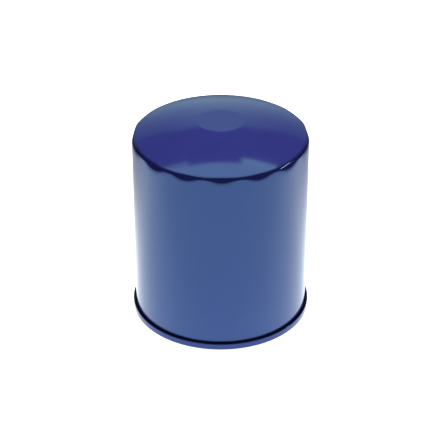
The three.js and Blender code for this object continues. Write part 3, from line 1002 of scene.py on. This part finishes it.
def coil(name, turns, wire, bottom, top, bottom_radius, top_radius):
    """A wound spring, from its wire's middle line at the bottom to that at the top."""
    piece = piece_of(name, [(0, 0, bottom), (0, 0, top)], [])
    winding = Forming(
        name + "_winding",
        {
            "Turns": float(turns),
            "Wire": wire * MM,
            "Bottom": bottom * MM,
            "Free height": (top - bottom - 2.3 * wire) * MM,
            "Bottom radius": bottom_radius * MM,
            "Taper": (top_radius - bottom_radius) * MM,
            "Steps": round(turns * STEPS_A_TURN) + 1,
        },
    )
    line = winding.node("GeometryNodeMeshLine", None, {"Count": winding.given["Steps"]})
    share = winding.node("GeometryNodeInputIndex") / (winding.given["Steps"] - 1)
    turn = share * winding.given["Turns"]
    climb = winding.node(
        "ShaderNodeMapRange", None, {0: turn, 1: 1.0, 2: winding.given["Turns"] - 1}
    )
    closed_turns = winding.sum("MINIMUM", turn, 1.0)
    closed_turns = closed_turns + winding.sum("MAXIMUM", turn + 1 - winding.given["Turns"], 0.0)
    height = winding.given["Bottom"] + climb * winding.given["Free height"]
    height = height + closed_turns * winding.given["Wire"] * 1.15
    radius = winding.given["Bottom radius"] + winding.given["Taper"] * share
    angle = turn * (2 * math.pi)
    place = winding.vector(
        radius * winding.sum("COSINE", angle), radius * winding.sum("SINE", angle), height
    )
    line = winding.node("GeometryNodeSetPosition", None, {"Geometry": line, "Position": place})
    line = winding.node("GeometryNodeMeshToCurve", None, {"Mesh": line})
    section = winding.node(
        "GeometryNodeCurvePrimitiveCircle",
        None,
        {"Resolution": WIRE_SIDES, "Radius": winding.given["Wire"] * 0.5},
    )
    wound = winding.node(
        "GeometryNodeCurveToMesh",
        None,
        {"Curve": line, "Profile Curve": section, "Fill Caps": True},
    )
    winding.form(piece, wound, spring_wire)
    return piece


hold_down = coil("hold_down_spring", 4.5, 2.0, 89.9, 111.75, 17.0, 9.5)
fitted(hold_down, "housing", "spring_steel", "element_spring")
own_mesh(hold_down)

valve_spring = coil("valve_spring", 6.0, 1.0, 67.3, 83.9, 8.0, 8.0)
fitted(valve_spring, "element", "spring_steel", "bypass_spring")
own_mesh(valve_spring)


# ---- The floor, the lights and the camera ----
# The filter stands on a plain white table under a broad soft box and two small ones, with a pale screen
# behind it and a small lamp at its right. The enamel mirrors a card on the table that glows by itself,
# its
# light painted on unevenly: brightest just in front of the filter, dimmer behind it and towards its
# sides.
# Reaches across the floor are in metres here, and the heights of the sheets in millimetres.

TABLE_RADIUS = 3.0
TABLE_HEIGHT = -0.05
CARD_HALF_WIDTH = 0.36
CARD_FRONT = -0.60
CARD_BACK = 0.19
CARD_HEIGHT = -0.03
SCREEN_RADIUS = 1.6
SCREEN_FROM = 40
SCREEN_SWEEP = 100
SCREEN_PANELS = 30
SCREEN_FOOT = -300.0
SCREEN_HEAD = 1250.0
SURROUND = 0.55
LIT_TINT = (0.92, 0.98, 1.0, 1)
PALE_TINT = (0.66, 1.0, 0.95, 1)
COOL_WHITE = (0.93, 1, 1)


def flat_sheet(name, left, right, front, back, height):
    """A sheet that lies level, its edges in metres."""
    corners = [(left, front), (right, front), (right, back), (left, back)]
    return piece_of(name, [(cx / MM, cy / MM, height) for cx, cy in corners], [(0, 1, 2, 3)])


def clear_from_below(look):
    """Lets a sheet be seen through from its underside, so that the filter's base can be looked at."""
    clear = look.node("ShaderNodeBsdfTransparent")
    behind = look.node("ShaderNodeNewGeometry", gives="Backfacing")
    front = Wire(look, look.shader.outputs["BSDF"])
    face = look.node("ShaderNodeMixShader", None, {0: behind, 1: front, 2: clear})
    look.feed(look.tree.nodes["Material Output"].inputs["Surface"], face)


def glow(name, strength):
    """The start of a surface that gives light and has no gloss of its own."""
    return Finish(name, Emission_Strength=strength, Roughness=0.9, Specular_IOR_Level=0.0)


def lit_by(look, share, tint):
    """Ends a dark surface that gives a share of its light, in a tint."""
    return look.feeds(
        Base_Color=look.between(share, (0.02, 0.02, 0.02, 1), (0.03, 0.03, 0.03, 1)),
        Emission_Color=look.between(share, (0, 0, 0, 1), tint),
    )


look = glow("white_table", 1.0)
mottle = look.grain(3.0)
table_white = look.feeds(
    Base_Color=look.between(mottle, (0.80, 0.80, 0.80, 1), (0.84, 0.84, 0.84, 1)),
    Emission_Color=look.between(mottle, (0.97, 0.97, 0.97, 1), (1, 1, 1, 1)),
)
clear_from_below(look)
table_line = [(0.0, TABLE_HEIGHT), (TABLE_RADIUS / MM, TABLE_HEIGHT)]
table = spun("table", table_line, 64, closed=False)
table.data.materials.append(table_white)
table.visible_glossy = False
table.visible_diffuse = False

# The card glows by itself. Its brighter and dimmer zones are painted light and shade, seen only in
# reflections.
look = glow("lit_card", 2.1)
y = look.along("Y")
painted_card_light = look.eased(y, 0.150, 0.020, 0.36, 1.0) * look.eased(y, -0.03, -0.10, 1.0, 0.88)
painted_card_light = painted_card_light * look.eased(y, CARD_BACK, 0.150, 0.3, 1.0)
aside = look.sum("ABSOLUTE", look.along("X"))
painted_card_light = painted_card_light * look.eased(aside, 0.20, 0.25, 1.0, 0.6)
painted_card_light = painted_card_light * look.eased(aside, 0.26, CARD_HALF_WIDTH, 1.0, 0.0)
card_white = lit_by(look, painted_card_light, LIT_TINT)
clear_from_below(look)
card = flat_sheet("card", -CARD_HALF_WIDTH, CARD_HALF_WIDTH, CARD_FRONT, CARD_BACK, CARD_HEIGHT)
card.data.materials.append(card_white)
card.visible_camera = False

look = glow("pale_screen", 0.85)
z = look.along("Z")
aside = look.sum("ABSOLUTE", look.along("X"))
central = look.eased(aside, 0.70, 0.0, 0.22, 0.66)
low_glow = look.eased(z, 0.95, 0.25, 0.0, 0.12) * look.eased(z, -0.1, 0.2)
edge_height = look.eased(aside, 0.30, 0.80, 1.20, 0.85)
shade = (central + low_glow) * look.eased(z - edge_height, 0.06, -0.10)
shade = shade * look.eased(z, -0.3, 0.1, 0.4, 1.0)
screen_pale = lit_by(look, shade, PALE_TINT)
screen_ends = (math.radians(SCREEN_FROM), math.radians(SCREEN_FROM + SCREEN_SWEEP))
screen_line = arc((0, 0), SCREEN_RADIUS / MM, *screen_ends, SCREEN_PANELS)
screen = upright("screen", screen_line, SCREEN_FOOT, SCREEN_HEAD, 1)
screen.data.materials.append(screen_pale)
screen.visible_camera = False


def soft_box(name, place, aim, wide, deep, radiance, tint=(1, 1, 1), mirrored=True):
    """A rectangular lamp of an even radiance. Without a mirror image it only fills."""
    lamp = bpy.data.lights.new(name, "AREA")
    lamp.shape = "RECTANGLE"
    lamp.size = wide
    lamp.size_y = deep
    lamp.energy = radiance * math.pi * wide * deep
    lamp.color = tint
    stand = bpy.data.objects.new(name, lamp)
    stand.location = place
    stand.rotation_euler = (Vector(aim) - Vector(place)).to_track_quat("-Z", "Y").to_euler()
    stand.visible_glossy = mirrored
    bpy.context.scene.collection.objects.link(stand)


MIDDLE = (0, 0, 0.057)
soft_box("broad_box", (0.0, 0.185, 1.0), (0.0, 0.185, 0.0), 0.84, 0.43, 2.3, COOL_WHITE)
soft_box("right_box", (0.31, 0.43, 1.0), (0.31, 0.43, 0.0), 0.30, 0.11, 2.7, COOL_WHITE)
soft_box("left_box", (-0.42, 0.42, 1.0), (-0.42, 0.42, 0.0), 0.38, 0.10, 1.5, COOL_WHITE)
soft_box("side_lamp", (0.90, -0.06, 0.123), (0, 0, 0.103), 0.10, 0.08, 22.0)
soft_box("top_fill", (0.0, 0.0, 1.8), MIDDLE, 1.6, 1.6, 2.2, mirrored=False)

world = bpy.data.worlds.new("studio")
world.use_nodes = True
world.node_tree.nodes["Background"].inputs["Color"].default_value = (1.0, 1.0, 1.0, 1)
world.node_tree.nodes["Background"].inputs["Strength"].default_value = SURROUND
bpy.context.scene.world = world
world.cycles_visibility.glossy = False

AIM = Vector((0, 0, 54.4 * MM))
DISTANCE = 0.930
RISE = math.radians(31.41)
BEARING = math.radians(-91.0)
lens = bpy.data.cameras.new("camera")
lens.lens = 142.9
lens.sensor_width = 36.0
lens.shift_x = -0.00703
lens.clip_start = 0.05
lens.clip_end = 20.0
camera = bpy.data.objects.new("camera", lens)
bpy.context.scene.collection.objects.link(camera)
back = Vector(
    (
        math.cos(BEARING) * math.cos(RISE),
        math.sin(BEARING) * math.cos(RISE),
        math.sin(RISE),
    )
)
camera.location = AIM + back * DISTANCE
camera.rotation_euler = (-back).to_track_quat("-Z", "Y").to_euler()
bpy.context.scene.camera = camera
bpy.context.scene.view_settings.view_transform = "Standard"
